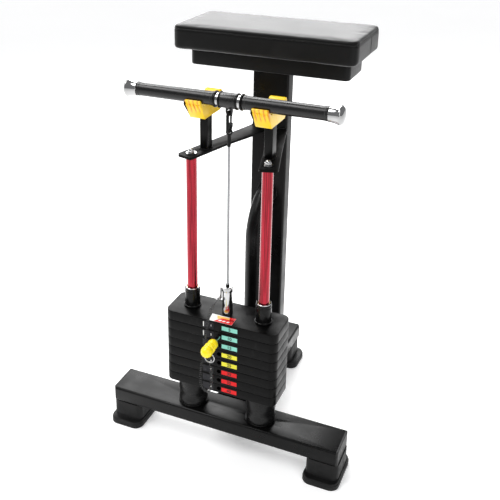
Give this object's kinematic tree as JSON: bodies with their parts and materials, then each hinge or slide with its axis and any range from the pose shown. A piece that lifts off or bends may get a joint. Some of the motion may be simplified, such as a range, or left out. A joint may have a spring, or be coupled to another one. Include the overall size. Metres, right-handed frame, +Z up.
{
  "type": "ab crunch machine",
  "caption": "Standing crunch machine: a T base with a pin-selected weight stack on guide rods, a padded rest on an upright, and a straight bar on a cable resting in two cradles.",
  "frame": {"origin": "on the floor, in the middle of the machine's footprint box", "axes": "+X to the machine's right seen from the front, +Y towards the rear foot, +Z up; the weight stack and the bar are at the front (-Y)"},
  "size_m": [0.62, 0.573, 1.019],
  "materials": {
    "frame_paint": "semi-gloss black powder coat",
    "cap_plastic": "fine moulded black",
    "foot_rubber": "matt black rubber",
    "bolt_steel": "zinc plated",
    "bright_chrome": "polished chrome",
    "rod_red": "deep red metallic gloss",
    "cradle_plastic": "moulded yellow, satin gloss",
    "plate_iron": "black painted cast iron",
    "bumper_rubber": "smooth black rubber",
    "sleeve_paint": "gloss black",
    "bush_brass": "plain turned",
    "cable_steel": "coated wire rope",
    "hook_black": "black oxide",
    "bar_steel": "plated tube",
    "grip_rubber": "matt black grip sleeve",
    "sleeve_plastic": "black nylon",
    "pad_vinyl": "black grained vinyl",
    "board_wood": "plain plywood",
    "knob_plastic": "moulded yellow gloss",
    "lanyard_cord": "black coiled polyurethane"
  },
  "bodies": {
    "frame": {"front_beam": "frame_paint", "spine_beam": "frame_paint", "upright": "frame_paint", "brace_tube": "frame_paint", "bracket_arm_left": "frame_paint", "bracket_arm_right": "frame_paint", "cradle_post_left": "frame_paint", "cradle_post_right": "frame_paint", "cradle_saddles": "frame_paint", "pad_plate": "frame_paint", "bumper_rings": "frame_paint", "beam_end_caps": "cap_plastic", "front_foot_left": "foot_rubber", "front_foot_right": "foot_rubber", "rear_foot": "foot_rubber", "foot_bolts": "bolt_steel", "rod_base_bolts": "bolt_steel", "pad_screws": "bolt_steel", "rod_washers": "bright_chrome", "rod_nuts": "bright_chrome", "guide_rod_left": "rod_red", "guide_rod_right": "rod_red", "cradle_left": "cradle_plastic", "cradle_right": "cradle_plastic", "bumper_left": "bumper_rubber", "bumper_right": "bumper_rubber", "weight_plate_3": "plate_iron", "weight_plate_4": "plate_iron", "weight_plate_5": "plate_iron", "weight_plate_6": "plate_iron", "weight_plate_7": "plate_iron", "weight_plate_8": "plate_iron", "pad_board": "board_wood", "pad_base": "pad_vinyl", "pad_cushion": "pad_vinyl"},
    "carriage": {"head_plate": "plate_iron", "weight_plate_2": "plate_iron", "guide_sleeve_left": "sleeve_paint", "guide_sleeve_right": "sleeve_paint", "sleeve_rings": "bright_chrome", "selector_stem": "bright_chrome", "lanyard_clip": "bright_chrome", "guide_bushes": "bush_brass", "stem_screw": "bolt_steel", "gate_rivet": "bolt_steel", "lanyard": "lanyard_cord", "lift_cable": "cable_steel", "cable_crimps": "hook_black", "snap_hook": "hook_black", "bar_sleeve": "sleeve_plastic"},
    "gate": {"hook_gate": "bolt_steel"},
    "bar": {"bar_tube": "bar_steel", "grip_left": "grip_rubber", "grip_right": "grip_rubber", "bar_collars": "bright_chrome", "bar_end_caps": "bright_chrome"},
    "pin": {"pin_shaft": "bright_chrome", "pin_ring": "bright_chrome", "pin_knob": "knob_plastic"}
  },
  "joints": [
    {"name": "stack_lift", "type": "slide", "parent": "frame", "child": "carriage", "axis": [0, 0, 1], "range_m": [0, 0.31]},
    {"name": "bar_spin", "type": "hinge", "parent": "carriage", "child": "bar", "pos_m": [0, -0.1555, 0.905], "axis": [1, 0, 0], "continuous": true},
    {"name": "gate_swing", "type": "hinge", "parent": "carriage", "child": "gate", "pos_m": [0, -0.1465, 0.848], "axis": [1, 0, 0], "range_deg": [0, 28], "stiffness_Nm_per_rad": 0.05, "springref_deg": -22.92},
    {"name": "pin_pull", "type": "slide", "parent": "carriage", "child": "pin", "axis": [0, -1, 0], "range_m": [0, 0.085]}
  ]
}
